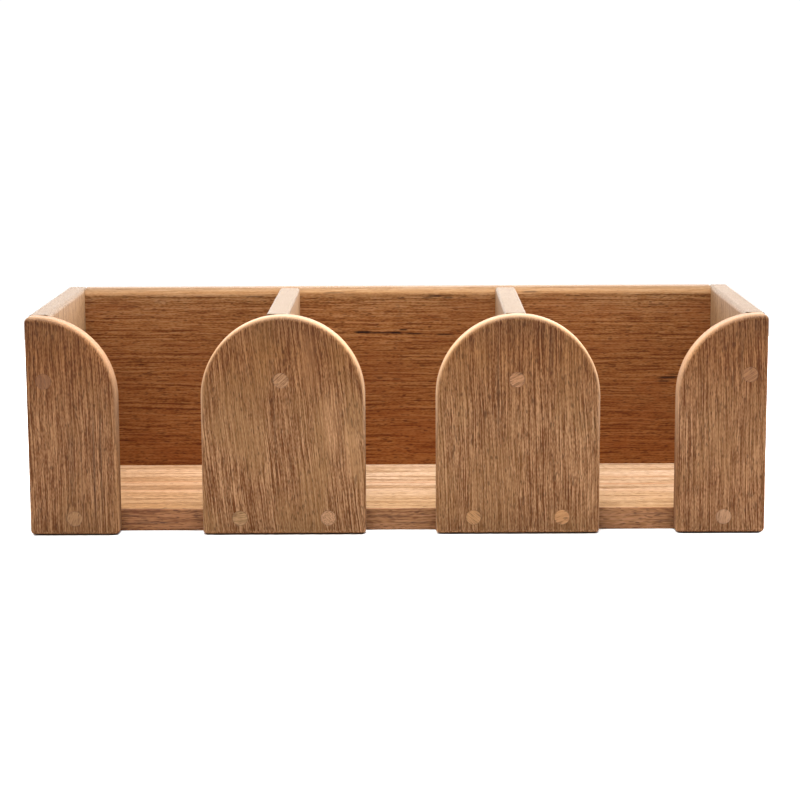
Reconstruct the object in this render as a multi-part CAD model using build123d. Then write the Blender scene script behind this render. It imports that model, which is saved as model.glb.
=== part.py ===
from build123d import *

import os
from dataclasses import dataclass

# Three-compartment open-front rack in solid teak, joined with plugged screws.
# Millimetres, +Z up, origin on the floor under the middle of the footprint.
# The open front faces -Y and the length runs along X.

# Overall size
LENGTH = 400.0
DEPTH = 150.0
HEIGHT = 120.0

# Board thicknesses
END_THICKNESS = 12.0
BACK_THICKNESS = 12.0
BASE_THICKNESS = 12.0
DIVIDER_THICKNESS = 12.0
STOP_THICKNESS = 12.0

# Front stops: an arch is two radii wide, an end stop is half an arch and a short flat
STOP_RADIUS = 44.5
END_STOP_FLAT = 3.7         # level top between an end stop's arc and its outer edge
LEFT_ARCH_INWARD = 3.1      # how far the hand-set left arch sits inwards of its divider
RIGHT_ARCH_OUTWARD = 1.0    # and the right arch outwards of its own

# Rounded and eased edges
FRONT_ROUND = 3.0           # hand-rounded front rim of every stop
STOP_FOOT_ROUND = 2.3       # bottom corners of a stop's outline
OUTER_EDGE_EASE = 1.0       # outer upright edge of an end stop
BACK_TOP_ROUND = 5.0        # front top edge of the back panel
END_TOP_ROUND = 2.4         # top edges of the end panels
DIVIDER_TOP_ROUND = 1.6     # top edges of the dividers
EASE = 0.6                  # every other edge that shows

# Countersunk wood screw
SCREW_LENGTH = 25.0
SCREW_HEAD_RADIUS = 2.8
SCREW_HEAD_RIM = 0.25
SCREW_HEAD_HEIGHT = 1.7
SCREW_SHANK_RADIUS = 1.25
SCREW_SHANK_LENGTH = 9.0
SCREW_ROOT_RADIUS = 0.95
SCREW_CREST_RADIUS = 1.45
SCREW_PITCH = 1.3
SCREW_TIP_LENGTH = 2.4
SCREW_RECESS_SPAN = 3.0
SCREW_RECESS_WIDTH = 0.8
SCREW_RECESS_DEPTH = 1.1
SCREW_CLEARANCE = 0.02      # radial, all round the screw
SCREW_TIP_SPACE = 0.8       # empty hole beyond the tip

# Wooden plug over a sunk screw
PLUG_RADIUS = 4.2
PLUG_LENGTH = 4.3
PLUG_FACE_CHAMFER = 0.15
PLUG_CLEARANCE = 0.02       # radial
PLUG_TO_HEAD = 0.25         # glue space between a plug and its screw head
BARE_HEAD_SINK = 0.4        # how far an unplugged head lies under the surface
BARE_HEAD_CLEARANCE = 0.15  # radial, round an unplugged head's rim

# Front screws: upper ones are placed down from the top, lower ones by the inside faces
TOP_SCREW_DROP = 34.8
RIGHT_END_TOP_SCREW_DROP = 32.4
SCREW_TO_INSIDE_FACE = 2.6         # from the inner face of a base or end panel's edge
LEFT_ARCH_TOP_SCREW_INWARD = 2.2   # from the divider's centre plane
RIGHT_ARCH_TOP_SCREW_OUTWARD = 0.4
ARCH_FOOT_SCREW_INSET = 20.4       # in from each side of an arch
LEFT_END_FOOT_SCREW_INSET = 24.2   # in from the end stop's outer edge
RIGHT_END_FOOT_SCREW_INSET = 22.3

# Hidden screws: heights are up from the floor, drops are down from the top
BACK_SCREW_HEIGHT = 30.0           # end panels into the back panel
BACK_SCREW_DROP = 28.0
DIVIDER_SCREW_HEIGHT = 42.0        # back panel into the dividers
DIVIDER_SCREW_DROP = 25.0
BASE_SCREW_INSET = 28.0            # end panels into the base, from its front and rear edges
UNDERSIDE_FRONT_INSET = 31.0       # base into the dividers, from the base's front edge
UNDERSIDE_REAR_INSET = 33.0        # and from its rear edge

# Derived places
HALF_LENGTH = LENGTH / 2
INNER_HALF_LENGTH = HALF_LENGTH - END_THICKNESS
FRONT_Y = -DEPTH / 2
BOARD_FRONT_Y = FRONT_Y + STOP_THICKNESS
BACK_Y = DEPTH / 2
BACK_FRONT_Y = BACK_Y - BACK_THICKNESS
BAY_WIDTH = (2 * INNER_HALF_LENGTH - 2 * DIVIDER_THICKNESS) / 3
DIVIDER_X = (BAY_WIDTH + DIVIDER_THICKNESS) / 2
OUTER_BAY_X = BAY_WIDTH + DIVIDER_THICKNESS
END_STOP_WIDTH = STOP_RADIUS + END_STOP_FLAT
LEFT_ARCH_X = -DIVIDER_X + LEFT_ARCH_INWARD
RIGHT_ARCH_X = DIVIDER_X + RIGHT_ARCH_OUTWARD


def board(x_range, y_range, z_range):
    """A squared board between two values along each axis."""
    spans = [high - low for low, high in (x_range, y_range, z_range)]
    corner = (x_range[0], y_range[0], z_range[0])
    return Pos(*corner) * Box(*spans, align=(Align.MIN, Align.MIN, Align.MIN))


def round_edges(solid, edges, radius):
    """The solid with those edges rounded."""
    return fillet(edges, radius) if len(edges) else solid


def edges_at(solid, axis, value):
    """The edges that lie wholly in the plane where the axis has that value."""
    return solid.edges().filter_by_position(axis, value - 0.01, value + 0.01)


def make_back_panel():
    """The long rear board, between the end panels."""
    x_range = (-INNER_HALF_LENGTH, INNER_HALF_LENGTH)
    panel = board(x_range, (BACK_FRONT_Y, BACK_Y), (0, HEIGHT))
    top_edges = edges_at(panel, Axis.Z, HEIGHT).filter_by(Axis.X)
    panel = round_edges(panel, top_edges.sort_by(Axis.Y)[:1], BACK_TOP_ROUND)
    rear_edges = edges_at(panel, Axis.Y, BACK_Y).filter_by(Axis.X)
    return round_edges(panel, rear_edges, EASE)


def make_base_panel():
    """The bottom board, between the end panels and in front of the back panel."""
    x_range = (-INNER_HALF_LENGTH, INNER_HALF_LENGTH)
    panel = board(x_range, (BOARD_FRONT_Y, BACK_FRONT_Y), (0, BASE_THICKNESS))
    front_edges = edges_at(panel, Axis.Y, BOARD_FRONT_Y).filter_by(Axis.X)
    return round_edges(panel, front_edges, EASE)


def make_end_panel(side):
    """A full-height side board. side is -1 for the left one and 1 for the right one."""
    x_range = sorted((side * INNER_HALF_LENGTH, side * HALF_LENGTH))
    panel = board(x_range, (BOARD_FRONT_Y, BACK_Y), (0, HEIGHT))
    top_edges = edges_at(panel, Axis.Z, HEIGHT).filter_by(Axis.Y)
    panel = round_edges(panel, top_edges, END_TOP_ROUND)
    outer_edges = edges_at(panel, Axis.Y, BACK_Y) + edges_at(panel, Axis.Z, 0).filter_by(Axis.Y)
    return round_edges(panel, outer_edges, EASE)


def make_divider(side):
    """A board that stands on the base and parts two bays."""
    centre = side * DIVIDER_X
    x_range = (centre - DIVIDER_THICKNESS / 2, centre + DIVIDER_THICKNESS / 2)
    divider = board(x_range, (BOARD_FRONT_Y, BACK_FRONT_Y), (BASE_THICKNESS, HEIGHT))
    top_edges = edges_at(divider, Axis.Z, HEIGHT).filter_by(Axis.Y)
    return round_edges(divider, top_edges, DIVIDER_TOP_ROUND)


def thicken_stop(outline):
    """A front stop from its outline, whose Y is height, with its front on the rack's front."""
    rear_plane = Plane.XZ.offset(-BOARD_FRONT_Y)
    return extrude(rear_plane * outline, STOP_THICKNESS)


def make_arch_stop(centre_x):
    """A round-topped front board: straight sides and a half circle."""
    shoulder = HEIGHT - STOP_RADIUS
    left, right = -STOP_RADIUS, STOP_RADIUS
    foot_and_sides = Polyline((left, shoulder), (left, 0), (right, 0), (right, shoulder))
    top = ThreePointArc((right, shoulder), (0, HEIGHT), (left, shoulder))
    outline = make_face(foot_and_sides.edges() + top.edges())
    outline = fillet(outline.vertices().group_by(Axis.Y)[0], STOP_FOOT_ROUND)
    stop = thicken_stop(Pos(centre_x, 0) * outline)
    stop = round_edges(stop, edges_at(stop, Axis.Y, FRONT_Y), FRONT_ROUND)
    return round_edges(stop, edges_at(stop, Axis.Y, BOARD_FRONT_Y), EASE)


def make_end_stop(side):
    """Half an arch, flush with the rack's end and rounded on its inner edge."""
    outer = side * HALF_LENGTH
    inner = outer - side * END_STOP_WIDTH
    arc_centre = inner + side * STOP_RADIUS
    shoulder = HEIGHT - STOP_RADIUS
    corners = [(arc_centre, HEIGHT), (outer, HEIGHT), (outer, 0), (inner, 0), (inner, shoulder)]
    curve = CenterArc((arc_centre, shoulder), STOP_RADIUS, 90, side * 90)
    outline = make_face(Polyline(*corners).edges() + curve.edges())
    foot_corners = outline.vertices().group_by(Axis.Y)[0]
    inner_foot = foot_corners.sort_by(lambda corner: side * corner.X)[0]
    outline = fillet(inner_foot, STOP_FOOT_ROUND)
    stop = thicken_stop(outline)
    outer_edges = stop.edges().filter_by(Axis.Z).filter_by_position(Axis.X, outer - 0.01, outer + 0.01)
    stop = round_edges(stop, outer_edges.sort_by(Axis.Y)[:1], OUTER_EDGE_EASE)
    rounded = [
        edge
        for edge in edges_at(stop, Axis.Y, FRONT_Y)
        if side * edge.center().X < HALF_LENGTH - OUTER_EDGE_EASE - 0.01
    ]
    stop = round_edges(stop, rounded, FRONT_ROUND)
    rear = [
        edge
        for edge in edges_at(stop, Axis.Y, BOARD_FRONT_Y)
        if side * edge.center().X < HALF_LENGTH - 0.01
    ]
    return round_edges(stop, rear, EASE)


def make_screw():
    """A countersunk wood screw: the top of its head at the origin, pointing down -Z."""
    thread_length = SCREW_LENGTH - SCREW_SHANK_LENGTH - SCREW_TIP_LENGTH
    turns = int(thread_length / SCREW_PITCH)
    thread_top = -SCREW_SHANK_LENGTH
    thread_bottom = thread_top - turns * SCREW_PITCH
    profile = [
        (0, 0),
        (SCREW_HEAD_RADIUS, 0),
        (SCREW_HEAD_RADIUS, -SCREW_HEAD_RIM),
        (SCREW_SHANK_RADIUS, -SCREW_HEAD_HEIGHT),
        (SCREW_SHANK_RADIUS, thread_top),
        (SCREW_ROOT_RADIUS, thread_top),
    ]
    for turn in range(turns):
        ridge_top = thread_top - turn * SCREW_PITCH
        profile.append((SCREW_CREST_RADIUS, ridge_top - SCREW_PITCH / 2))
        profile.append((SCREW_ROOT_RADIUS, ridge_top - SCREW_PITCH))
    profile += [(SCREW_ROOT_RADIUS, thread_bottom - 0.1), (0, -SCREW_LENGTH)]
    half_section = make_face(Plane.XZ * Polyline(*profile, close=True))
    body = revolve(half_section, Axis.Z)
    arm = Box(SCREW_RECESS_SPAN, SCREW_RECESS_WIDTH, 2 * SCREW_RECESS_DEPTH)
    return body - arm - Rot(0, 0, 90) * arm


def make_screw_hole(plugged):
    """What a screw takes out of the wood, from the board's face at z = 0 down -Z."""
    head_top = -(PLUG_LENGTH + PLUG_TO_HEAD) if plugged else -BARE_HEAD_SINK
    bare_radius = SCREW_HEAD_RADIUS + BARE_HEAD_CLEARANCE
    mouth_radius = PLUG_RADIUS + PLUG_CLEARANCE if plugged else bare_radius
    head_radius = SCREW_HEAD_RADIUS + SCREW_CLEARANCE
    hole_radius = SCREW_CREST_RADIUS + SCREW_CLEARANCE
    cone_top = head_top - SCREW_HEAD_RIM
    cone_bottom = head_top - SCREW_HEAD_HEIGHT
    hole_bottom = head_top - SCREW_LENGTH - SCREW_TIP_SPACE
    profile = [
        (0, 1),
        (mouth_radius, 1),
        (mouth_radius, cone_top),
        (head_radius, cone_top),
        (hole_radius, cone_bottom),
        (hole_radius, hole_bottom),
        (0, hole_bottom),
    ]
    return revolve(make_face(Plane.XZ * Polyline(*profile, close=True)), Axis.Z)


def make_plug():
    """A round plug with its face at the origin, filling the mouth of a screw hole."""
    plug = Pos(0, 0, -PLUG_LENGTH / 2) * Cylinder(PLUG_RADIUS, PLUG_LENGTH)
    return chamfer(plug.edges().group_by(Axis.Z)[-1], PLUG_FACE_CHAMFER)


@dataclass(frozen=True)
class ScrewRow:
    """Alike screws that pull one board to another, and what their plugs are called."""

    outer: str
    inner: str
    places: tuple
    plug_names: tuple = ()
    plugged: bool = True


def on_front(x, z):
    """A place on the rack's front, looking out of it."""
    return Location(Plane((x, FRONT_Y, z), z_dir=(0, -1, 0)))


def on_rear(x, z):
    """A place on the back panel's rear face, looking out of it."""
    return Location(Plane((x, BACK_Y, z), z_dir=(0, 1, 0)))


def on_end(side, y, z):
    """A place on an end panel's outer face, looking out of it."""
    return Location(Plane((side * HALF_LENGTH, y, z), z_dir=(side, 0, 0)))


def on_underside(x, y):
    """A place on the base's underside, looking down."""
    return Location(Plane((x, y, 0), z_dir=(0, 0, -1)))


def arch_rows(word, centre_x, top_x):
    """The three screws of an arch stop: one into its divider, two into the base."""
    name = f"arch_stop_{word}"
    top = on_front(top_x, HEIGHT - TOP_SCREW_DROP)
    spread = STOP_RADIUS - ARCH_FOOT_SCREW_INSET
    foot_z = BASE_THICKNESS - SCREW_TO_INSIDE_FACE
    feet = (on_front(centre_x - spread, foot_z), on_front(centre_x + spread, foot_z))
    foot_names = (f"{name}_plug_bottom_left", f"{name}_plug_bottom_right")
    return [
        ScrewRow(name, f"divider_{word}", (top,), (f"{name}_plug_top",)),
        ScrewRow(name, "base_panel", feet, foot_names),
    ]


def end_stop_rows(word, side, top_drop, foot_inset):
    """The two screws of an end stop: one into its end panel, one into the base."""
    name = f"end_stop_{word}"
    top = on_front(side * (INNER_HALF_LENGTH + SCREW_TO_INSIDE_FACE), HEIGHT - top_drop)
    foot = on_front(side * (HALF_LENGTH - foot_inset), BASE_THICKNESS - SCREW_TO_INSIDE_FACE)
    return [
        ScrewRow(name, f"end_panel_{word}", (top,), (f"{name}_plug_top",)),
        ScrewRow(name, "base_panel", (foot,), (f"{name}_plug_bottom",)),
    ]


def end_panel_rows(word, side):
    """The screws through an end panel into the ends of the back panel and the base."""
    name = f"end_panel_{word}"
    back_y = BACK_Y - BACK_THICKNESS / 2
    back_heights = (BACK_SCREW_HEIGHT, HEIGHT - BACK_SCREW_DROP)
    base_ys = (BOARD_FRONT_Y + BASE_SCREW_INSET, BACK_FRONT_Y - BASE_SCREW_INSET)
    into_back = tuple(on_end(side, back_y, height) for height in back_heights)
    into_base = tuple(on_end(side, y, BASE_THICKNESS / 2) for y in base_ys)
    return [ScrewRow(name, "back_panel", into_back), ScrewRow(name, "base_panel", into_base)]


def rear_rows():
    """The screws through the back panel into the dividers and the base's rear edge."""
    heights = (DIVIDER_SCREW_HEIGHT, HEIGHT - DIVIDER_SCREW_DROP)
    left = tuple(on_rear(-DIVIDER_X, height) for height in heights)
    right = tuple(on_rear(DIVIDER_X, height) for height in heights)
    bay_middles = (-OUTER_BAY_X, 0, OUTER_BAY_X)
    below = tuple(on_rear(x, BASE_THICKNESS / 2) for x in bay_middles)
    return [
        ScrewRow("back_panel", "divider_left", left),
        ScrewRow("back_panel", "divider_right", right),
        ScrewRow("back_panel", "base_panel", below),
    ]


def underside_rows():
    """The bare countersunk screws up through the base into the dividers."""
    front_y = BOARD_FRONT_Y + UNDERSIDE_FRONT_INSET
    rear_y = BACK_FRONT_Y - UNDERSIDE_REAR_INSET
    left = (on_underside(-DIVIDER_X, front_y), on_underside(-DIVIDER_X, rear_y))
    right = (on_underside(DIVIDER_X, front_y), on_underside(DIVIDER_X, rear_y))
    return [
        ScrewRow("base_panel", "divider_left", left, plugged=False),
        ScrewRow("base_panel", "divider_right", right, plugged=False),
    ]


def make_boards():
    """The ten boards by name, before their screw holes."""
    boards = {"back_panel": make_back_panel(), "base_panel": make_base_panel()}
    for word, side in (("left", -1), ("right", 1)):
        boards[f"end_panel_{word}"] = make_end_panel(side)
        boards[f"divider_{word}"] = make_divider(side)
        boards[f"end_stop_{word}"] = make_end_stop(side)
    boards["arch_stop_left"] = make_arch_stop(LEFT_ARCH_X)
    boards["arch_stop_right"] = make_arch_stop(RIGHT_ARCH_X)
    return boards


def list_screw_rows():
    """Every row of screws in the rack."""
    rows = arch_rows("left", LEFT_ARCH_X, -DIVIDER_X + LEFT_ARCH_TOP_SCREW_INWARD)
    rows += arch_rows("right", RIGHT_ARCH_X, DIVIDER_X + RIGHT_ARCH_TOP_SCREW_OUTWARD)
    rows += end_stop_rows("left", -1, TOP_SCREW_DROP, LEFT_END_FOOT_SCREW_INSET)
    rows += end_stop_rows("right", 1, RIGHT_END_TOP_SCREW_DROP, RIGHT_END_FOOT_SCREW_INSET)
    rows += end_panel_rows("left", -1)
    rows += end_panel_rows("right", 1)
    return rows + rear_rows() + underside_rows()


def build_rack():
    """Every node of the rack, as its name and its list of solids."""
    boards = make_boards()
    nodes = {}
    screw = make_screw()
    plug = make_plug()
    for row in list_screw_rows():
        hole = make_screw_hole(row.plugged)
        head_sink = PLUG_LENGTH + PLUG_TO_HEAD if row.plugged else BARE_HEAD_SINK
        for number, place in enumerate(row.places):
            boards[row.outer] -= place * hole
            boards[row.inner] -= place * hole
            screws = f"{row.outer}_screws"
            nodes.setdefault(screws, []).append(place * Pos(0, 0, -head_sink) * screw)
            if row.plugged:
                plugs = row.plug_names[number] if row.plug_names else f"{row.outer}_plugs"
                nodes.setdefault(plugs, []).append(place * plug)
    for name, solid in boards.items():
        nodes[name] = [solid]
    return nodes


os.makedirs("parts", exist_ok=True)
for node, pieces in build_rack().items():
    solids = [solid for piece in pieces for solid in piece.solids()]
    shape = solids[0] if len(solids) == 1 else Compound(children=solids)
    export_step(shape, f"parts/{node}.step")
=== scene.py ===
import logging
import math
from dataclasses import dataclass, replace
from enum import Enum

import bpy
import numpy as np
from mathutils import Matrix, Vector


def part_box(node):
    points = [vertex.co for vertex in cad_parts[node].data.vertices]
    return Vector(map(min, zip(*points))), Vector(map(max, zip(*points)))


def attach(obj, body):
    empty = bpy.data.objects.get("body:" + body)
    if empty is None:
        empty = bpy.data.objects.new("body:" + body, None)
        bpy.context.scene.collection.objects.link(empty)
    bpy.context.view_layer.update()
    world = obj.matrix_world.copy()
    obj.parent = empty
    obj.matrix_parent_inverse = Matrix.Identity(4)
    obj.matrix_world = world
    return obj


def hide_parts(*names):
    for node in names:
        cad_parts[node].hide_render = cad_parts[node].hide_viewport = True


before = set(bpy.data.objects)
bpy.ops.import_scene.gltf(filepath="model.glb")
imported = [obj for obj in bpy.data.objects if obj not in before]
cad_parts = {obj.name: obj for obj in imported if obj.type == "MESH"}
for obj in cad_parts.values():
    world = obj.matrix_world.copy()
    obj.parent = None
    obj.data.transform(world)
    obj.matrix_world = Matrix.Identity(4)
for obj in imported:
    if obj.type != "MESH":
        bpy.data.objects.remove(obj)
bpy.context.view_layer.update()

# A low three-bay rack of solid teak boards, screwed together under round wooden plugs.
# Metres and +Z up, as in the frame. Pattern sizes are in millimetres and say so.

Pair = tuple[float, float]
Triple = tuple[float, float, float]
Tree = bpy.types.NodeTree
Socket = bpy.types.NodeSocket

LOG = logging.getLogger("rack")
MM = 0.001  # one millimetre in metres
ROOT_BODY = "root"
CUT_STEP_MM = (137.0, 137.0 / 3, 137.0 / 2)  # how far apart in the log two boards were cut


def linear(hex_colour: str) -> tuple[float, float, float, float]:
    """Turns an sRGB hex colour into linear light by the standard sRGB curve.

    Args:
        hex_colour: A colour such as "#a97b58".

    Returns:
        Linear red, green, blue and a full alpha.
    """
    channels = [int(hex_colour[i:i + 2], 16) / 255 for i in (1, 3, 5)]
    lit = [c / 12.92 if c <= 0.04045 else ((c + 0.055) / 1.055) ** 2.4 for c in channels]
    return (*lit, 1.0)


def add_node(
    tree: Tree,
    kind: str,
    links: dict[str | int, object] | None = None,
    ramp: tuple[tuple, ...] = (),
    **settings: object,
) -> Socket | None:
    """Adds one node with its settings and links.

    Args:
        tree: The node tree it goes into.
        kind: The node's type without its "ShaderNode" prefix.
        links: Values or source sockets by input name, or by number among the inputs in use.
        ramp: Places and linear colours for a colour ramp.
        settings: The node's own properties.

    Returns:
        The first output in use, or None on an output node. Its .node is the node itself.
    """
    node = tree.nodes.new(f"ShaderNode{kind}")
    for name, value in settings.items():
        setattr(node, name, value)
    inputs = [socket for socket in node.inputs if socket.enabled]
    by_name = {socket.name: socket for socket in reversed(inputs)}
    for key, value in (links or {}).items():
        socket = inputs[key] if isinstance(key, int) else by_name[key]
        if isinstance(value, Socket):
            tree.links.new(value, socket)
        else:
            socket.default_value = value
    for number, (place, colour) in enumerate(ramp):
        marks = node.color_ramp.elements
        mark = marks[number] if number < len(marks) else marks.new(place)
        mark.position = place
        mark.color = colour
    outputs = [socket for socket in node.outputs if socket.enabled]
    return outputs[0] if outputs else None


def new_material(name: str) -> bpy.types.Material:
    """An empty material of that name, ready for nodes."""
    material = bpy.data.materials.new(name)
    material.use_nodes = True
    material.node_tree.nodes.clear()
    return material


def dress(piece: bpy.types.Object, material: bpy.types.Material) -> None:
    """Puts one material on the whole piece."""
    piece.data.materials.clear()
    piece.data.materials.append(material)


def add_mesh_piece(name: str, points: np.ndarray, faces: list[list[int]]) -> bpy.types.Object:
    """Adds a smooth-shaded mesh whose object sits at the origin.

    Args:
        name: The piece's name.
        points: Corner places, one row of three each, in metres.
        faces: Lists of corner numbers, turning anticlockwise seen from outside.

    Returns:
        The new object.
    """
    mesh = bpy.data.meshes.new(name)
    mesh.from_pydata(points.reshape(-1, 3), [], faces)
    mesh.polygons.foreach_set("use_smooth", np.ones(len(mesh.polygons), dtype=bool))
    piece = bpy.data.objects.new(name, mesh)
    bpy.context.scene.collection.objects.link(piece)
    return piece


class Grain(Enum):
    """Which way a board's fibres run, as the turn that brings them onto the pattern's own X."""

    ALONG_LENGTH = (0.0, 0.0, 0.0)
    UPRIGHT = (0.0, math.pi / 2, 0.0)
    OWN = None  # the piece carries its fibre coordinates in the attribute named "fibre"


@dataclass(frozen=True)
class Streaks:
    """One layer of fibre streaks: how long and wide they are and how much they show."""

    length_mm: float
    width_mm: float
    detail: float
    weight: float


class Direction(Enum):
    """The three directions of the fibre frame, by the names of a node's outputs."""

    GRAIN = "X"
    ACROSS_Y = "Y"
    ACROSS_Z = "Z"


@dataclass(frozen=True)
class Vein:
    """A mark along the grain, by default a dark line.

    It has a place in the fibre frame, half sizes and a strength, and it fades from its core to its edge.
    """

    along_mm: float
    across_mm: float
    half_length_mm: float
    half_width_mm: float
    strength: float
    across: Direction = Direction.ACROSS_Z
    colour: str = "#2c170c"
    core_along: float = 0.35        # the share of each half size that is full strength
    core_across: float = 0.25


@dataclass(frozen=True)
class Wash:
    """A soft change of tone over a board, mostly painted shade and highlight: tints that multiply its
    colour, by place along one direction.
    """

    direction: Direction
    tints: tuple[tuple[float, str], ...]


@dataclass(frozen=True)
class PaintedHighlightEdge:
    """Rounded edges painted paler as highlight where the light catches them, alike on both sides of the
    board's middle.

    Each pair runs from where the paler colour starts to where it is full: across the board by the
    distance from its middle, along the grain by place.
    """

    direction: Direction
    across_mm: Pair
    along_mm: Pair
    colour: str
    share: float


@dataclass(frozen=True)
class Teak:
    """Solid teak, sanded and left dry: streaked fibre, open pores and a dull, silky face.

    The pattern fills the whole board, so faces, edges and end grain agree with each other.
    """

    name: str
    grain: Grain
    pale: str
    middle: str
    brown: str
    patch: str
    pore: str = "#4a2c18"
    tone_marks: Triple = (0.16, 0.5, 0.84)  # where brown, middle and pale lie among the tones
    patch_share: float = 0.3
    patch_length_mm: float = 42.0
    patch_width_mm: float = 15.0
    patch_limits: Pair = (0.44, 0.66)       # the noise where a patch starts, and where it is full
    ring_mm: float = 0.8
    ring_weight: float = 1.2
    ring_detail: float = 2.0
    ring_roughness: float = 0.65
    streaks: tuple[Streaks, ...] = (
        Streaks(55.0, 0.75, 1.0, 1.2),
        Streaks(12.0, 0.5, 0.0, 0.8),
        Streaks(1.8, 0.5, 0.0, 0.6),
    )
    pith_mm: Pair = (30.0, 170.0)           # from the board's middle, across the grain
    taper: float = 0.01
    lean_deg: float = 0.0
    middle_mm: Triple = (0.0, 0.0, 0.0)
    wander_mm: float = 2.2
    wander_length_mm: float = 80.0
    wander_slimness: float = 3.0            # its length over its width
    noise_roughness: float = 0.6
    pore_length_mm: float = 3.5
    pore_width_mm: float = 0.5              # real ones are about 0.3 mm wide, too fine to show
    pore_share: float = 0.55
    pore_limits: Pair = (0.6, 0.72)         # the noise at a pore's rim, and where it is full depth
    shift_mm: Triple = (0.0, 0.0, 0.0)
    # painted highlight on rounded edges
    highlight_edge: PaintedHighlightEdge | None = None
    washes: tuple[Wash, ...] = ()
    veins: tuple[Vein, ...] = ()
    vein_wander: float = 0.3                # the share of the fibres' own wander that a dark line follows
    rim_shade: float = 0.0
    rim_limits: Pair = (0.9, 0.99)          # shares of a plug's radius between which its rim darkens
    relief_mm: float = 0.06
    relief_strength: float = 0.6
    tone_height: float = 0.6                # pale wood stands proud, pores and dark lines lie deep
    pore_height: float = -0.7
    vein_height: float = -1.5
    roughness: float = 0.66
    dark_duller: float = 0.08
    pale_smoother: float = 0.06
    gloss: float = 0.35
    ior: float = 1.5

    def stretched_noise(
        self, tree: Tree, place: Socket, length_mm: float, width_mm: float, detail: float
    ) -> Socket:
        """Noise drawn out along the fibres.

        Args:
            tree: The material's node tree.
            place: Fibre coordinates in millimetres, X along the grain.
            length_mm: How far the pattern holds along the grain.
            width_mm: How far it holds across.
            detail: Octaves of finer detail.

        Returns:
            A value about 0.5.
        """
        scale = (1 / length_mm, 1 / width_mm, 1 / width_mm)
        shift = tuple(part * share for part, share in zip(self.shift_mm, scale))
        stretched = add_node(tree, "Mapping", {"Vector": place, "Location": shift, "Scale": scale})
        links = {"Vector": stretched, "Scale": 1.0, "Detail": detail, "Roughness": self.noise_roughness}
        return add_node(tree, "TexNoise", links)

    def fibre_place(self, tree: Tree) -> Socket:
        """Fibre coordinates in millimetres: X along the grain, Y and Z across it."""
        if self.grain is Grain.OWN:
            attribute = add_node(tree, "Attribute", attribute_name="fibre")
            return attribute.node.outputs["Vector"]
        own = add_node(tree, "TexCoord").node.outputs["Object"]
        scale = (1 / MM, 1 / MM, 1 / MM)
        return add_node(tree, "Mapping", {"Vector": own, "Rotation": self.grain.value, "Scale": scale})

    def leaning(self, tree: Tree, place: Socket) -> Socket:
        """The place turned a few degrees in the board's face, as no board is sawn dead along its fibres."""
        turn = (0.0, math.radians(self.lean_deg), 0.0)
        centred = add_node(tree, "VectorMath", {0: place, 1: self.middle_mm}, operation="SUBTRACT")
        return add_node(tree, "Mapping", {"Vector": centred, "Rotation": turn, "Location": self.middle_mm})

    def wandered(self, tree: Tree, place: Socket) -> Socket:
        """The place pushed sideways by slow noise about one half, so that no fibre line runs straight."""
        width_mm = self.wander_length_mm / self.wander_slimness
        noise = self.stretched_noise(tree, place, self.wander_length_mm, width_mm, detail=2.0)
        colour = noise.node.outputs["Color"]
        centred = add_node(tree, "VectorMath", {0: colour, 1: (0.5, 0.5, 0.5)}, operation="SUBTRACT")
        reach = (0.0, 2 * self.wander_mm, 2 * self.wander_mm)
        return add_node(tree, "VectorMath", {0: centred, 1: reach, 2: place}, operation="MULTIPLY_ADD")

    def ring_tone(self, tree: Tree, place: Socket) -> Socket:
        """Growth rings: uneven noise by the distance from the pith, which leans along the board."""
        pith = tuple(middle + offset for middle, offset in zip(self.middle_mm, (0.0, *self.pith_mm)))
        from_pith = add_node(tree, "VectorMath", {0: place, 1: pith}, operation="SUBTRACT")
        flat = add_node(tree, "VectorMath", {0: from_pith, 1: (0.0, 1.0, 1.0)}, operation="MULTIPLY")
        radius = add_node(tree, "VectorMath", {0: flat}, operation="LENGTH")
        along = add_node(tree, "SeparateXYZ", {0: place})
        leaning = add_node(tree, "Math", {0: along, 1: self.taper, 2: radius}, operation="MULTIPLY_ADD")
        count = add_node(tree, "Math", {0: leaning, 1: 1 / self.ring_mm}, operation="MULTIPLY")
        links = {"W": count, "Scale": 1.0, "Detail": self.ring_detail, "Roughness": self.ring_roughness}
        return add_node(tree, "TexNoise", links, noise_dimensions="1D")

    def tone(self, tree: Tree, place: Socket) -> Socket:
        """Rings and streaks added together about one half: 0 is dark latewood, 1 pale earlywood."""
        layers = [(self.ring_tone(tree, place), self.ring_weight)]
        for layer in self.streaks:
            noise = self.stretched_noise(tree, place, layer.length_mm, layer.width_mm, layer.detail)
            layers.append((noise, layer.weight))
        total = 0.5 - 0.5 * sum(weight for _, weight in layers)
        for noise, weight in layers:
            total = add_node(tree, "Math", {0: noise, 1: weight, 2: total}, operation="MULTIPLY_ADD")
        return total

    def vein_mask(self, tree: Tree, place: Socket, vein: Vein) -> Socket:
        """How much of a vein is at a place: full on its line, none at its half width and half length."""
        parts = add_node(tree, "SeparateXYZ", {0: place}).node.outputs
        reaches = (
            (parts["X"], vein.along_mm, vein.half_length_mm, vein.core_along),
            (parts[vein.across.value], vein.across_mm, vein.half_width_mm, vein.core_across),
        )
        masks = []
        for part, middle, half, core in reaches:
            offset = add_node(tree, "Math", {0: part, 1: middle}, operation="SUBTRACT")
            distance = add_node(tree, "Math", {0: offset}, operation="ABSOLUTE")
            limits = {"Value": distance, "From Min": core * half, "From Max": half}
            limits |= {"To Min": 1.0, "To Max": 0.0}
            masks.append(add_node(tree, "MapRange", limits, interpolation_type="SMOOTHSTEP"))
        both = add_node(tree, "Math", {0: masks[0], 1: masks[1]}, operation="MULTIPLY")
        return add_node(tree, "Math", {0: both, 1: vein.strength}, operation="MULTIPLY")

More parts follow.
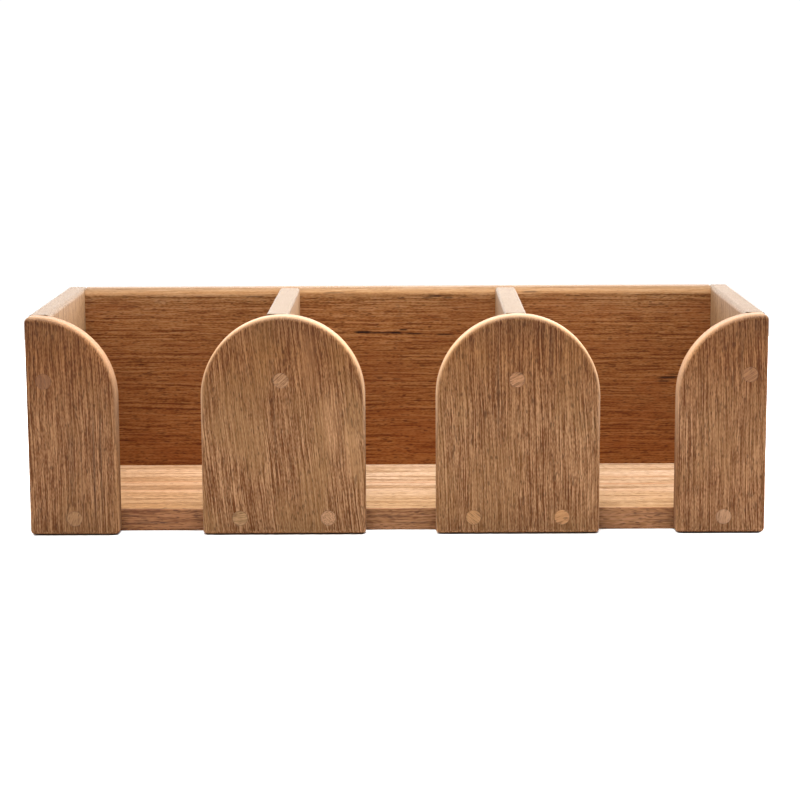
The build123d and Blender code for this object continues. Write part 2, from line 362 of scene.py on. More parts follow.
    def highlight_mask(self, tree: Tree, place: Socket, edge: PaintedHighlightEdge) -> Socket:
        """How much of a rounded edge's painted highlight is at a place."""
        parts = add_node(tree, "SeparateXYZ", {0: place}).node.outputs
        middle = dict(zip("XYZ", self.middle_mm))[edge.direction.value]
        links = {0: parts[edge.direction.value], 1: middle}
        offset = add_node(tree, "Math", links, operation="SUBTRACT")
        distance = add_node(tree, "Math", {0: offset}, operation="ABSOLUTE")
        masks = []
        for part, (start, full) in ((distance, edge.across_mm), (parts["X"], edge.along_mm)):
            limits = {"Value": part, "From Min": start, "From Max": full}
            masks.append(add_node(tree, "MapRange", limits, interpolation_type="SMOOTHSTEP"))
        both = add_node(tree, "Math", {0: masks[0], 1: masks[1]}, operation="MULTIPLY")
        return add_node(tree, "Math", {0: both, 1: edge.share}, operation="MULTIPLY")

    def mixed(self, tree: Tree, factor: Socket, under: Socket, over: str) -> Socket:
        """The colour under, turned towards the hex colour over by the factor."""
        links = {"Factor": factor, "A": under, "B": linear(over)}
        return add_node(tree, "Mix", links, data_type="RGBA")

    def washed(self, tree: Tree, place: Socket, colour: Socket, wash: Wash) -> Socket:
        """The colour multiplied by the wash's tints, which blend from each place to the next."""
        part = add_node(tree, "SeparateXYZ", {0: place}).node.outputs[wash.direction.value]
        first, last = wash.tints[0][0], wash.tints[-1][0]
        limits = {"Value": part, "From Min": first, "From Max": last}
        share = add_node(tree, "MapRange", limits)
        ramp = tuple(((at - first) / (last - first), linear(tint)) for at, tint in wash.tints)
        tints = add_node(tree, "ValToRGB", {0: share}, ramp=ramp)
        links = {"Factor": 1.0, "A": colour, "B": tints}
        return add_node(tree, "Mix", links, data_type="RGBA", blend_type="MULTIPLY")

    def pores(self, tree: Tree, place: Socket) -> Socket:
        """How much of an open pore is at a place."""
        noise = self.stretched_noise(tree, place, self.pore_length_mm, self.pore_width_mm, detail=0.0)
        rim, full = self.pore_limits
        return add_node(tree, "MapRange", {"Value": noise, "From Min": rim, "From Max": full})

    def fibre_colour(self, tree: Tree, place: Socket, tone: Socket, pore: Socket) -> Socket:
        """The wood's own colour: the tones of its rings, patches of another tone, and dark pores."""
        colours = (self.brown, self.middle, self.pale)
        ramp = tuple((at, linear(colour)) for at, colour in zip(self.tone_marks, colours))
        colour = add_node(tree, "ValToRGB", {0: tone}, ramp=ramp)
        noise = self.stretched_noise(tree, place, self.patch_length_mm, self.patch_width_mm, detail=1.0)
        start, full = self.patch_limits
        limits = {"Value": noise, "From Min": start, "From Max": full, "To Max": self.patch_share}
        patch = add_node(tree, "MapRange", limits, interpolation_type="SMOOTHSTEP")
        colour = self.mixed(tree, patch, colour, self.patch)
        depth = add_node(tree, "Math", {0: pore, 1: self.pore_share}, operation="MULTIPLY")
        return self.mixed(tree, depth, colour, self.pore)

    def rimmed(self, tree: Tree, colour: Socket) -> Socket:
        """The colour with a thin dark ring of glue and dirt round a plug's rim."""
        rim = add_node(tree, "Attribute", attribute_name="rim").node.outputs["Fac"]
        start, full = self.rim_limits
        limits = {"Value": rim, "From Min": start, "From Max": full, "To Max": self.rim_shade}
        line = add_node(tree, "MapRange", limits, interpolation_type="SMOOTHSTEP")
        return self.mixed(tree, line, colour, self.pore)

    def material(self) -> bpy.types.Material:
        """Builds the finish.

        Returns:
            A material whose colour, roughness and relief all come from the same fibres.
        """
        material = new_material(self.name)
        tree = material.node_tree
        straight = self.fibre_place(tree)
        place = self.wandered(tree, self.leaning(tree, straight))
        tone = self.tone(tree, place)
        pore = self.pores(tree, place)

        colour = self.fibre_colour(tree, place, tone, pore)
        # Painted highlight on rounded edges, then the washes, most of which paint shade and highlight.
        if self.highlight_edge:
            highlight = self.highlight_mask(tree, straight, self.highlight_edge)
            colour = self.mixed(tree, highlight, colour, self.highlight_edge.colour)
        for wash in self.washes:
            colour = self.washed(tree, straight, colour, wash)

        height = add_node(tree, "Math", {0: tone, 1: self.tone_height}, operation="MULTIPLY")
        links = {0: pore, 1: self.pore_height, 2: height}
        height = add_node(tree, "Math", links, operation="MULTIPLY_ADD")
        links = {"Factor": self.vein_wander, "A": straight, "B": place}
        wavering = add_node(tree, "Mix", links, data_type="VECTOR")
        for vein in self.veins:
            mask = self.vein_mask(tree, wavering, vein)
            colour = self.mixed(tree, mask, colour, vein.colour)
            links = {0: mask, 1: self.vein_height, 2: height}
            height = add_node(tree, "Math", links, operation="MULTIPLY_ADD")
        if self.rim_shade:
            colour = self.rimmed(tree, colour)

        dullest = self.roughness + self.dark_duller
        smoothest = self.roughness - self.pale_smoother
        roughness = add_node(tree, "MapRange", {"Value": tone, "To Min": dullest, "To Max": smoothest})
        relief = {"Height": height, "Strength": self.relief_strength, "Distance": self.relief_mm * MM}
        surface = {
            "Base Color": colour,
            "Roughness": roughness,
            "Normal": add_node(tree, "Bump", relief),
            "IOR": self.ior,
            "Specular IOR Level": self.gloss,
        }
        shader = add_node(tree, "BsdfPrincipled", surface)
        add_node(tree, "OutputMaterial", {"Surface": shader})
        return material


@dataclass(frozen=True)
class RolledSteel:
    """Zinc-plated steel with a rolled thread: a soft grey sheen with fine turning lines."""

    name: str = "Zinc-plated steel, thread rolled"
    bright: str = "#c9cbc9"
    dull: str = "#8f9290"
    cloud_marks: Pair = (0.35, 0.65)        # where dull and bright lie in the cloudy plating
    cloud_detail: float = 3.0
    blotch_mm: float = 1.2
    line_mm: float = 0.25
    line_depth_mm: float = 0.02
    line_strength: float = 0.3
    roughness: Pair = (0.25, 0.45)

    def material(self) -> bpy.types.Material:
        """Builds the finish: cloudy plating over fine lines left by the dies."""
        material = new_material(self.name)
        tree = material.node_tree
        own = add_node(tree, "TexCoord").node.outputs["Object"]
        links = {"Vector": own, "Scale": 1 / (self.blotch_mm * MM), "Detail": self.cloud_detail}
        cloud = add_node(tree, "TexNoise", links)
        marks = zip(self.cloud_marks, (linear(self.dull), linear(self.bright)))
        colour = add_node(tree, "ValToRGB", {0: cloud}, ramp=tuple(marks))
        fine_links = {"Vector": own, "Scale": 1 / (self.line_mm * MM), "Detail": 1.0}
        fine = add_node(tree, "TexNoise", fine_links)
        smoothest, dullest = self.roughness
        roughness = add_node(tree, "MapRange", {"Value": cloud, "To Min": smoothest, "To Max": dullest})
        relief = {"Height": fine, "Strength": self.line_strength, "Distance": self.line_depth_mm * MM}
        normal = add_node(tree, "Bump", relief)
        surface = {"Base Color": colour, "Metallic": 1.0, "Roughness": roughness, "Normal": normal}
        shader = add_node(tree, "BsdfPrincipled", surface)
        add_node(tree, "OutputMaterial", {"Surface": shader})
        return material


SAP_LINE = "#9c683f"      # brown bands in the wood beside the sapwood
HAZE = "#b98c63"          # faint pale clouds in the stops

# Rift-sawn boards show close, nearly straight lines. Hand sanding leaves them dull; their rounded rims are
# painted paler as highlight.
STOP_TEAK = Teak(
    name="Teak, rift-sawn, sanded by hand",
    grain=Grain.UPRIGHT,
    pale="#a87d57",
    middle="#815837",
    brown="#5c3210",
    patch="#8a643d",
    pore="#3a2009",
    gloss=0.15,
    # Painted highlight on the rounded rim, from just behind the face inwards, more and more towards the
    # top, where the light falls from above.
    highlight_edge=PaintedHighlightEdge(
        Direction.ACROSS_Y,
        across_mm=(5.97, 4.2),
        along_mm=(34.0, 104.0),
        colour="#e7c4a2",
        share=0.66,
    ),
    washes=(
        # Painted shadow at the foot where the stop meets the floor, a paler line of painted floor light
        # over it, and painted shade, darker and cooler, towards the top.
        Wash(
            Direction.GRAIN,
            (
                (0.0, "#5a4638"),
                (0.7, "#6a5444"),
                (1.2, "#ffffff"),
                (2.1, "#ffffff"),
                (3.4, "#ebebeb"),
                (62.0, "#ebebeb"),
                (100.0, "#daccb6"),
                (113.0, "#cfc3b4"),
                (117.5, "#c4b9ab"),
                (119.8, "#bbb5ab"),
            ),
        ),
    ),
)

# A flat-sawn board shows broad, lively streaks, and its planed face a slightly brighter sheen.
BACK_TEAK = Teak(
    name="Teak, flat-sawn, planed",
    grain=Grain.ALONG_LENGTH,
    pale="#ecb079",
    middle="#d39358",
    brown="#995c2d",
    patch="#c77d47",
    pore="#562e13",
    gloss=0.2,
    pith_mm=(60.0, -90.0),
    ring_mm=1.4,
    ring_weight=1.15,
    # Painted highlight on the rounded top edge. Its full share starts beyond the left end, so it holds the
    # whole length.
    highlight_edge=PaintedHighlightEdge(
        Direction.ACROSS_Z,
        across_mm=(54.5, 57.5),
        along_mm=(-300.0, -250.0),
        colour="#cf8d50",
        share=0.6,
    ),
    washes=(
        # Painted shade: browner and darker towards the foot, deep in the bays, and a cooler, dimmer rounded
        # top that tempers its strong light.
        Wash(
            Direction.ACROSS_Z,
            (
                (20.0, "#b7a287"),
                (75.0, "#c0b29f"),
                (100.0, "#cabfb2"),
                (108.0, "#cdc6c0"),
                (114.0, "#cfcfcf"),
                (115.6, "#c5cad1"),
                (117.0, "#c2cddc"),
                (118.2, "#b5c4d6"),
                (119.6, "#94a3bd"),
            ),
        ),
        # A touch greyer towards both ends.
        Wash(
            Direction.GRAIN,
            ((-190.0, "#ececef"), (-60.0, "#ffffff"), (70.0, "#ffffff"), (190.0, "#f0f1f3")),
        ),
        # The rear face a little darker and cooler.
        Wash(Direction.ACROSS_Y, ((63.0, "#ffffff"), (74.5, "#ffffff"), (74.95, "#ced4da"))),
    ),
    veins=(
        # The forked drying crack behind the middle bay.
        Vein(-21.0, 93.2, 7.0, 1.1, 1.0),
        Vein(-8.0, 92.8, 13.0, 0.8, 0.85),
        Vein(-1.0, 92.8, 4.0, 1.0, 0.95),
        Vein(3.4, 94.6, 3.5, 0.8, 0.9),
        Vein(9.5, 92.2, 7.0, 0.8, 0.8),
        Vein(28.0, 91.7, 7.0, 0.8, 0.75),
        Vein(-46.0, 93.0, 20.0, 0.8, 0.35),
        # The small knot in the right bay.
        Vein(163.0, 64.8, 8.0, 1.0, 0.9),
        Vein(160.5, 62.6, 5.0, 0.8, 0.8),
        Vein(167.0, 66.6, 5.0, 0.7, 0.6),
        # Short checks under the rounded top.
        Vein(-38.0, 117.2, 8.0, 0.6, 0.5),
        Vein(22.5, 115.0, 6.0, 0.8, 0.75),
        Vein(18.0, 113.9, 4.0, 0.6, 0.7),
        Vein(30.5, 113.9, 4.0, 0.6, 0.75),
        Vein(2.0, 113.9, 3.0, 0.5, 0.55),
        Vein(79.5, 117.3, 6.0, 0.7, 0.6),
        Vein(-86.0, 115.0, 7.0, 0.6, 0.55),
    ),
)

# Paler, yellower wood from beside the sapwood, planed, whose wide rings show as soft broad bands.
BASE_TEAK = Teak(
    name="Teak near the sapwood, flat-sawn, planed",
    grain=Grain.ALONG_LENGTH,
    pale="#c8aa91",
    middle="#b59674",
    brown="#8a6541",
    patch="#b79069",
    pore="#6b4b2b",
    pith_mm=(-130.0, 45.0),
    ring_mm=9.0,
    ring_weight=1.1,
    pore_share=0.8,
    streaks=(
        Streaks(150.0, 6.0, 1.0, 1.2),
        Streaks(55.0, 0.9, 0.0, 1.2),
        Streaks(4.0, 0.6, 0.0, 0.9),
    ),
    patch_length_mm=90.0,
    washes=(
        # Painted shade: darker towards the front, where the stops shade the top, and darker again on the
        # front edge, which faces away from the light.
        Wash(
            Direction.ACROSS_Y,
            (
                (-63.0, "#c4a17d"),
                (-62.3, "#c4a17d"),
                (-61.6, "#e1d6bf"),
                (0.0, "#e2ddd7"),
                (60.0, "#ffffff"),
            ),
        ),
        # A little browner towards the left end.
        Wash(Direction.GRAIN, ((-130.0, "#f2e7d9"), (-60.0, "#ffffff"), (190.0, "#ffffff"))),
    ),
    veins=(
        # Brown bands along the top face.
        Vein(0.0, 8.0, 55.0, 2.4, 0.55, Direction.ACROSS_Y, SAP_LINE),
        Vein(-130.0, 12.0, 60.0, 2.2, 0.5, Direction.ACROSS_Y, SAP_LINE),
        Vein(-140.0, -12.0, 50.0, 2.0, 0.45, Direction.ACROSS_Y, SAP_LINE),
        Vein(140.0, 22.0, 50.0, 2.0, 0.45, Direction.ACROSS_Y, SAP_LINE),
        Vein(135.0, 2.0, 45.0, 2.4, 0.55, Direction.ACROSS_Y, SAP_LINE),
        Vein(150.0, -16.0, 40.0, 2.0, 0.4, Direction.ACROSS_Y, SAP_LINE),
        # Dark lines on the front edge, two in each bay.
        Vein(-150.0, 8.4, 14.0, 0.6, 0.4),
        Vein(-134.0, 4.6, 16.0, 0.8, 0.4),
        Vein(-4.0, 7.8, 16.0, 0.6, 0.4),
        Vein(8.0, 4.0, 15.0, 0.8, 0.35),
        Vein(138.0, 8.4, 16.0, 0.6, 0.4),
        Vein(152.0, 4.4, 14.0, 0.8, 0.4),
    ),
)

# Quarter-sawn boards show fine even lines, and planing leaves them flat and quiet beside the stops.
SIDE_TEAK = Teak(
    name="Teak, quarter-sawn, planed",
    grain=Grain.UPRIGHT,
    pale="#9e7c58",
    middle="#896846",
    brown="#664426",
    patch="#87613b",
    pore="#563821",
    pith_mm=(140.0, 30.0),
    ring_mm=1.3,
    # Painted shade on the rounded tops, which are end grain: darker and cooler, to temper the strong light
    # from above.
    washes=(
        Wash(Direction.GRAIN, ((0.0, "#ffffff"), (117.4, "#ffffff"), (119.6, "#c5d0dd"))),
    ),
)

# The same wood in the end panels, whose rounded tops carry a little more painted shade.
END_TEAK = replace(
    SIDE_TEAK,
    washes=(
        Wash(Direction.GRAIN, ((0.0, "#ffffff"), (117.4, "#ffffff"), (119.6, "#b8bcbf"))),
    ),
)

# Small offcuts pared flush: each shows its own direction of grain and a thin dark rim.
PLUG_TEAK = Teak(
    name="Teak plug, cross-cut and pared flush",
    grain=Grain.OWN,
    pale="#a87d55",
    middle="#926841",
    brown="#70492b",
    patch="#946941",
    rim_shade=0.6,
    ring_weight=0.8,
    pith_mm=(30.0, 90.0),
)

# The end stops are a shade darker than the arch stops, all over.
LEFT_STAIN = Wash(Direction.GRAIN, ((0.0, "#f0ebe7"), (120.0, "#f3ece6")))
RIGHT_STAIN = Wash(Direction.GRAIN, ((0.0, "#f8f5f5"), (120.0, "#f8f5f5")))


def dress_board(node: str, finish: Teak, number: int) -> bpy.types.Object:
    """Gives one board its own piece of teak, cut from a place in the log of its own.

    Args:
        node: The board's node.
        finish: The teak that it is made of.
        number: Its number, which sets where in the log it was cut.

    Returns:
        The board.
    """
    low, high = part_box(node)
    middle = (low + high) / 2 / MM
    upright = finish.grain is Grain.UPRIGHT
    middle_mm = (middle.z, middle.y, -middle.x) if upright else tuple(middle)
    shift = tuple(number * step for step in CUT_STEP_MM)
    own = replace(finish, name=f"{finish.name}, {node}", middle_mm=middle_mm, shift_mm=shift)
    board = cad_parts[node]
    dress(board, own.material())
    return board


@dataclass
class Carcass:
    """The back, base, end panels and dividers, whose shapes are the frame's own boards."""

    end_panels: tuple[str, ...] = ("end_panel_left", "end_panel_right")
    dividers: tuple[str, ...] = ("divider_left", "divider_right")

    def dress(self) -> list[bpy.types.Object]:
        """Gives each board its teak.

        Returns:
            The boards.
        """
        finishes = [("back_panel", BACK_TEAK), ("base_panel", BASE_TEAK)]
        finishes += [(node, END_TEAK) for node in self.end_panels]
        finishes += [(node, SIDE_TEAK) for node in self.dividers]
        return [dress_board(node, finish, number) for number, (node, finish) in enumerate(finishes)]


@dataclass
class Stops:
    """The four front stops, whose shapes are the frame's own boards: each one's lean and marks.

    The boards stand upright, so a mark's place along the grain is its height and its place across is
    minus the frame's X.
    """

    left_end: Teak = replace(
        STOP_TEAK,
        # A weaker painted highlight on this end stop's rim.
        highlight_edge=replace(STOP_TEAK.highlight_edge, share=0.46),
        washes=STOP_TEAK.washes + (LEFT_STAIN,),
        lean_deg=1.0,
        veins=(
            Vein(38.0, 164.5, 42.0, 0.9, 0.5),
            Vein(44.0, 160.6, 40.0, 0.8, 0.45),
            Vein(40.0, 176.8, 26.0, 2.2, 0.25),
            Vein(30.0, 171.5, 34.0, 0.6, 0.3),
        ),
    )
    left_arch: Teak = replace(
        STOP_TEAK,
        lean_deg=5.0,
        taper=0.03,
        patch_share=0.5,
        veins=(
            # A soft brown patch by the top plug, two pale clouds below it, and one thin line.
            Vein(94.0, 46.5, 22.0, 5.5, 0.5, colour="#7d5433"),
            Vein(60.6, 35.5, 22.0, 7.0, 0.2, colour=HAZE),
            Vein(44.0, 25.5, 20.0, 6.0, 0.2, colour=HAZE),
            Vein(60.0, 66.0, 50.0, 0.7, 0.3),
        ),
    )
    right_arch: Teak = replace(
        STOP_TEAK,
        lean_deg=1.5,
        veins=(Vein(82.0, -55.2, 34.0, 0.8, 0.45), Vein(101.0, -83.6, 16.0, 2.0, 0.3)),
    )
    right_end: Teak = replace(
        STOP_TEAK,
        lean_deg=1.5,
        # A weaker painted highlight on this end stop's rim.
        highlight_edge=replace(STOP_TEAK.highlight_edge, share=0.5),
        washes=STOP_TEAK.washes + (RIGHT_STAIN,),
        veins=(Vein(95.0, -186.0, 18.0, 1.2, 0.3),),
    )
    first_number: int = 7  # after the carcass's own numbers

    def dress(self) -> list[bpy.types.Object]:
        """Gives each stop its teak.

        Returns:
            The stops.
        """
        finishes = {
            "end_stop_left": self.left_end,
            "arch_stop_left": self.left_arch,
            "arch_stop_right": self.right_arch,
            "end_stop_right": self.right_end,
        }
        return [
            dress_board(node, finish, number)
            for number, (node, finish) in enumerate(finishes.items(), start=self.first_number)
        ]


@dataclass(frozen=True)
class PlugLook:
    """How one plug was cut: the turn of its fibres on the face, and its own three tones."""

    node: str
    turn_deg: float
    pale: str
    middle: str
    brown: str
    end_grain: bool = False


PLUG_LOOKS = (
    PlugLook("end_stop_left_plug_top", 96.0, "#7b4f2b", "#704625", "#5e381b"),
    PlugLook("end_stop_left_plug_bottom", 70.0, "#916943", "#855e39", "#714d2d"),
    PlugLook("arch_stop_left_plug_top", 42.0, "#9a724c", "#8a613e", "#664329"),
    PlugLook("arch_stop_left_plug_bottom_left", 4.0, "#9f794f", "#8e6943", "#684928"),
    PlugLook("arch_stop_left_plug_bottom_right", 0.0, "#ab7f5b", "#9a714d", "#835d3c", True),
    PlugLook("arch_stop_right_plug_top", 25.0, "#a0724c", "#8e613e", "#714d2e"),
    PlugLook("arch_stop_right_plug_bottom_left", -40.0, "#a47749", "#956a40", "#805833"),
    PlugLook("arch_stop_right_plug_bottom_right", 15.0, "#b28251", "#a47548", "#92643c"),
    PlugLook("end_stop_right_plug_top", 35.0, "#895e37", "#7f5331", "#6c4627"),
    PlugLook("end_stop_right_plug_bottom", 80.0, "#9e7654", "#916a4a", "#7f5b3d"),
)


@dataclass
class FrontPlugs:
    """The ten plugs in the front, pared nearly flush by hand. Sizes are in metres."""

    crown: float = 0.05 * MM                # the middle stands this much above the rim
    crown_power: int = 4                    # high enough to keep the middle flat
    rim_round: float = 0.16 * MM
    ridge: float = 0.02 * MM                # hard latewood left proud of the paring chisel
    ridge_pitch: float = 1.3 * MM
    ridge_slant: float = 0.12
    cut_step_mm: Triple = (53.0, 17.0, 29.0)  # how far apart in the wood two plugs were cut
    face_rows: int = 22
    rim_rows: int = 4
    around: int = 72

    def profile(self, radius: float, length: float) -> tuple[np.ndarray, np.ndarray]:
        """Half the plug's section, from the middle of its face to the middle of its inner end.

        The face drops by the crown times a high power of the share of the radius, and the rim is a
        quarter circle.

        Args:
            radius: The plug's radius in metres.
            length: Its length in metres.

        Returns:
            Radii, and depths below the face.
        """
        share = np.linspace(0.0, 1.0, self.face_rows)
        face_radius = share * (radius - self.rim_round)
        face_depth = self.crown * share ** self.crown_power
        turn = np.linspace(0.0, math.pi / 2, self.rim_rows + 1)[1:]
        rim_radius = radius - self.rim_round * (1 - np.sin(turn))
        rim_depth = self.crown + self.rim_round * (1 - np.cos(turn))
        tail_radius = np.array([radius, radius, radius - self.rim_round, 0.0])
        tail_depth = np.array([length / 2, length - self.rim_round, length, length])
        radii = np.concatenate((face_radius, rim_radius, tail_radius))
        return radii, np.concatenate((face_depth, rim_depth, tail_depth))

    def faces(self, rows: int) -> list[list[int]]:
        """Quads between the rings of a turned solid and a fan of triangles at each closed pole.

        Args:
            rows: Rings between the two poles.

        Returns:
            Lists of corner numbers. Corner 0 is the first pole and the last corner the other.
        """
        ring = np.arange(self.around)
        following = np.roll(ring, -1)
        first = 1 + np.arange(rows - 1)[:, None] * self.around
        quads = np.stack(
            (first + ring, first + self.around + ring, first + self.around + following, first + following),
            axis=-1,
        ).reshape(-1, 4)
        front_fan = np.stack((np.zeros_like(ring), 1 + ring, 1 + following), axis=-1)
        last = 1 + (rows - 1) * self.around
        rear_pole = np.full_like(ring, last + self.around)
        rear_fan = np.stack((rear_pole, last + following, last + ring), axis=-1)
        return quads.tolist() + front_fan.tolist() + rear_fan.tolist()

    def build_plug(self, look: PlugLook, number: int) -> bpy.types.Object:
        """Builds one plug as its section turned about the screw's axis, with ridges along its fibres.

        The ridges are a cosine of the distance across the fibres, which fades out over the rim.

        Args:
            look: Which node it stands for, and how it was cut.
            number: Its place in the row, which sets where in the wood it was cut from.

        Returns:
            The dressed plug.
        """
        low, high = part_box(look.node)
        radius = (high.x - low.x) / 2
        radii, depths = self.profile(radius, high.y - low.y)
        angles = np.linspace(0.0, 2 * math.pi, self.around, endpoint=False)
        across = np.outer(radii[1:-1], np.cos(angles)).ravel()
        upright = np.outer(radii[1:-1], np.sin(angles)).ravel()
        across = np.concatenate(([0.0], across, [0.0]))
        upright = np.concatenate(([0.0], upright, [0.0]))
        depth = np.concatenate((depths[:1], np.repeat(depths[1:-1], self.around), depths[-1:]))
        turn = math.radians(look.turn_deg)
        along = across * math.cos(turn) + upright * math.sin(turn)
        beside = upright * math.cos(turn) - across * math.sin(turn)
        on_face = np.clip(1 - depth / (self.crown + self.rim_round), 0.0, 1.0)
        across_ridges = (beside + self.ridge_slant * along) / self.ridge_pitch
        wave = 0.5 - 0.5 * np.cos(2 * math.pi * across_ridges)
        depth = depth + self.ridge * wave * on_face
        middle = (low + high) / 2
        points = np.stack((middle.x + across, low.y + depth, middle.z + upright), axis=-1)
        piece = add_mesh_piece(f"pared_{look.node}", points, self.faces(len(radii) - 2))

        fibre = (depth, along, beside) if look.end_grain else (along, depth, beside)
        fibre_mm = np.stack(fibre, axis=-1) / MM + number * np.array(self.cut_step_mm)
        rim = np.hypot(across, upright) / radius
        attributes = piece.data.attributes
        fibre_values = attributes.new("fibre", "FLOAT_VECTOR", "POINT").data
        fibre_values.foreach_set("vector", fibre_mm.astype(np.float32).ravel())
        rim_values = attributes.new("rim", "FLOAT", "POINT").data
        rim_values.foreach_set("value", rim.astype(np.float32))
        finish = replace(
            PLUG_TEAK,
            name=f"{PLUG_TEAK.name}, {look.node}",
            pale=look.pale,
            middle=look.middle,
            brown=look.brown,
            patch=look.middle,
        )
        dress(piece, finish.material())
        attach(piece, ROOT_BODY)
        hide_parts(look.node)
        return piece

    def build(self) -> list[bpy.types.Object]:
        """Builds every front plug."""
        return [self.build_plug(look, number) for number, look in enumerate(PLUG_LOOKS)]


@dataclass
class Fastenings:
    """The screws, and the plugs in the ends and the rear, whose shapes are the frame's own."""

    plug_nodes: tuple[str, ...] = ("end_panel_left_plugs", "end_panel_right_plugs", "back_panel_plugs")

    def dress(self) -> list[bpy.types.Object]:
        """Gives the screws steel and the plugs teak.

        Returns:
            The screws and plugs.
        """
        steel = RolledSteel().material()
        finish = replace(PLUG_TEAK, name="Teak plug, sanded flush", grain=Grain.UPRIGHT, rim_shade=0.0)
        teak = finish.material()
        pieces = []
        for node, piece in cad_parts.items():
            if node.endswith("_screws"):
                dress(piece, steel)
                pieces.append(piece)
            elif node in self.plug_nodes:
                dress(piece, teak)
                pieces.append(piece)
        return pieces


@dataclass(frozen=True)
class Softbox:
    """A soft rectangular light: where it stands, what it points at, its sides and its power."""

    name: str
    place: Triple
    target: Triple
    size: Pair
    watts: float
    colour: str = "#ffffff"

    def build(self) -> bpy.types.Object:
        """Hangs the light."""
        data = bpy.data.lights.new(self.name, "AREA")
        data.shape = "RECTANGLE"
        data.size, data.size_y = self.size
        data.energy = self.watts
        data.color = linear(self.colour)[:3]
        lamp = bpy.data.objects.new(self.name, data)
        lamp.location = self.place
        aim = Vector(self.target) - Vector(self.place)
        lamp.rotation_euler = aim.to_track_quat("-Z", "Y").to_euler()
        bpy.context.scene.collection.objects.link(lamp)
        return lamp


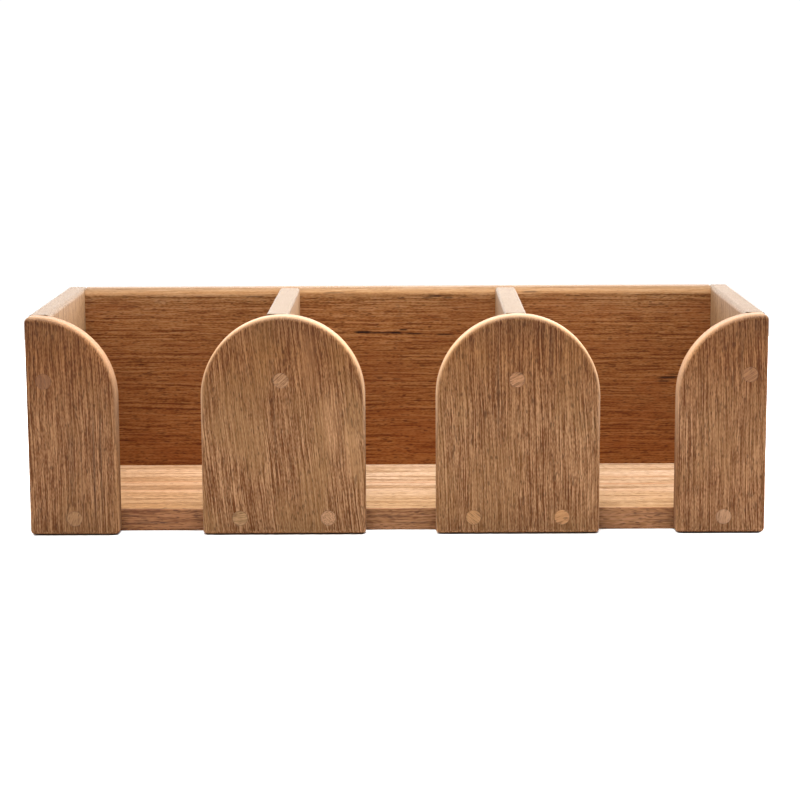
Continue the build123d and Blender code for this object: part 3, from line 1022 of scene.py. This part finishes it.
@dataclass
class Studio:
    """A white floor, soft lights and the camera. Lengths are in metres and angles in degrees."""

    floor_radius: float = 0.8
    floor_power: int = 3                    # how strongly the floor's rings crowd at its middle
    floor_rings: int = 12
    floor_spokes: int = 48
    cloud_colours: tuple[str, str] = ("#f3f3f3", "#f8f8f8")
    cloud_marks: Pair = (0.3, 0.7)
    cloud_scale: float = 3.0
    paper_roughness: float = 0.9
    world_strength: float = 0.03            # as a light on the rack
    seen_strength: float = 1.05             # as the camera sees it, just past full white
    camera_place: Triple = (0.00759, -1.207, 0.26094)
    camera_pitch_deg: float = 9.358
    camera_yaw_deg: float = -0.291
    camera_roll_deg: float = -0.275
    sensor_mm: float = 36.0
    lens_to_sensor: float = 2.65675
    clip_start: float = 0.01
    softboxes: tuple[Softbox, ...] = (
        Softbox("overhead", (0.0, 0.1, 1.5), (0.0, 0.0, 0.0), (2.0, 1.4), 28.0),
        Softbox("key", (0.0, 0.0, 1.5), (0.0, 0.0, 0.0), (0.6, 0.6), 27.0),
        Softbox("front_key", (0.0, -0.45, 1.4), (0.0, 0.0, 0.0), (0.8, 0.4), 9.0),
        Softbox("backdrop", (0.0, 1.9, 0.5), (0.0, 0.0, 0.1), (3.2, 1.2), 90.0),
        Softbox("right_side", (1.4, 0.2, 0.6), (0.0, 0.0, 0.05), (1.0, 0.8), 44.0),
        Softbox("left_side", (-1.4, 0.2, 0.6), (0.0, 0.0, 0.05), (1.0, 0.8), 9.0),
        Softbox("left_high", (-0.9, 0.0, 1.2), (0.0, 0.0, 0.05), (0.8, 0.8), 12.0),
    )

    def build_floor(self) -> bpy.types.Object:
        """A round white floor: rings whose radius grows as a power of their number, fine at the middle."""
        share = np.linspace(0.0, 1.0, self.floor_rings + 1)[1:]
        radii = self.floor_radius * share ** self.floor_power
        angles = np.linspace(0.0, 2 * math.pi, self.floor_spokes, endpoint=False)
        x = np.outer(radii, np.cos(angles)).ravel()
        y = np.outer(radii, np.sin(angles)).ravel()
        rim = np.stack((x, y, np.zeros_like(x)), axis=-1)
        points = np.concatenate((np.zeros((1, 3)), rim))
        ring = np.arange(self.floor_spokes)
        following = np.roll(ring, -1)
        first = 1 + np.arange(self.floor_rings - 1)[:, None] * self.floor_spokes
        outer = first + self.floor_spokes
        quads = np.stack((first + ring, outer + ring, outer + following, first + following), axis=-1)
        fan = np.stack((np.zeros_like(ring), 1 + ring, 1 + following), axis=-1)
        floor = add_mesh_piece("floor", points, quads.reshape(-1, 4).tolist() + fan.tolist())
        dress(floor, self.paper())
        return floor

    def paper(self) -> bpy.types.Material:
        """Matt white background paper, with a faint cloudiness."""
        material = new_material("White paper, matt")
        tree = material.node_tree
        own = add_node(tree, "TexCoord").node.outputs["Object"]
        cloud = add_node(tree, "TexNoise", {"Vector": own, "Scale": self.cloud_scale, "Detail": 2.0})
        ramp = tuple(zip(self.cloud_marks, map(linear, self.cloud_colours)))
        colour = add_node(tree, "ValToRGB", {0: cloud}, ramp=ramp)
        surface = {"Base Color": colour, "Roughness": self.paper_roughness}
        shader = add_node(tree, "BsdfPrincipled", surface)
        add_node(tree, "OutputMaterial", {"Surface": shader})
        return material

    def build_world(self) -> None:
        """White surroundings: full white behind the rack, weaker as a light on it."""
        world = bpy.data.worlds.new("white surroundings")
        world.use_nodes = True
        tree = world.node_tree
        tree.nodes.clear()
        seen = add_node(tree, "LightPath").node.outputs["Is Camera Ray"]
        strength = {"Value": seen, "To Min": self.world_strength, "To Max": self.seen_strength}
        white = {"Color": linear("#ffffff"), "Strength": add_node(tree, "MapRange", strength)}
        add_node(tree, "OutputWorld", {"Surface": add_node(tree, "Background", white)})
        bpy.context.scene.world = world

    def build_camera(self) -> bpy.types.Object:
        """The camera: level first, then turned, pitched down and rolled."""
        pitch, yaw, roll = map(
            math.radians, (self.camera_pitch_deg, self.camera_yaw_deg, self.camera_roll_deg)
        )
        ahead = Vector(
            (math.sin(yaw) * math.cos(pitch), math.cos(yaw) * math.cos(pitch), -math.sin(pitch))
        )
        level = Vector((math.cos(yaw), -math.sin(yaw), 0.0))
        above = level.cross(ahead)
        right = math.cos(roll) * level + math.sin(roll) * above
        up = math.cos(roll) * above - math.sin(roll) * level
        turn = Matrix((right, up, -ahead)).transposed()
        data = bpy.data.cameras.new("camera")
        data.sensor_width = self.sensor_mm
        data.lens = self.sensor_mm * self.lens_to_sensor
        data.clip_start = self.clip_start
        camera = bpy.data.objects.new("camera", data)
        camera.matrix_world = Matrix.Translation(self.camera_place) @ turn.to_4x4()
        bpy.context.scene.collection.objects.link(camera)
        bpy.context.scene.camera = camera
        return camera

    def build(self) -> list[bpy.types.Object]:
        """Sets up the whole studio."""
        bpy.context.scene.view_settings.view_transform = "Standard"
        self.build_world()
        return [self.build_floor(), self.build_camera(), *(box.build() for box in self.softboxes)]


def main() -> None:
    """Builds and dresses the rack's sub-assemblies in order, then the studio."""
    logging.basicConfig(level=logging.INFO, format="%(message)s")
    sub_assemblies = (
        ("carcass", Carcass().dress),
        ("stops", Stops().dress),
        ("front plugs", FrontPlugs().build),
        ("fastenings", Fastenings().dress),
        ("studio", Studio().build),
    )
    for title, make in sub_assemblies:
        for piece in make():
            LOG.info("%s: %s", title, piece.name)


if __name__ == "__main__":
    main()
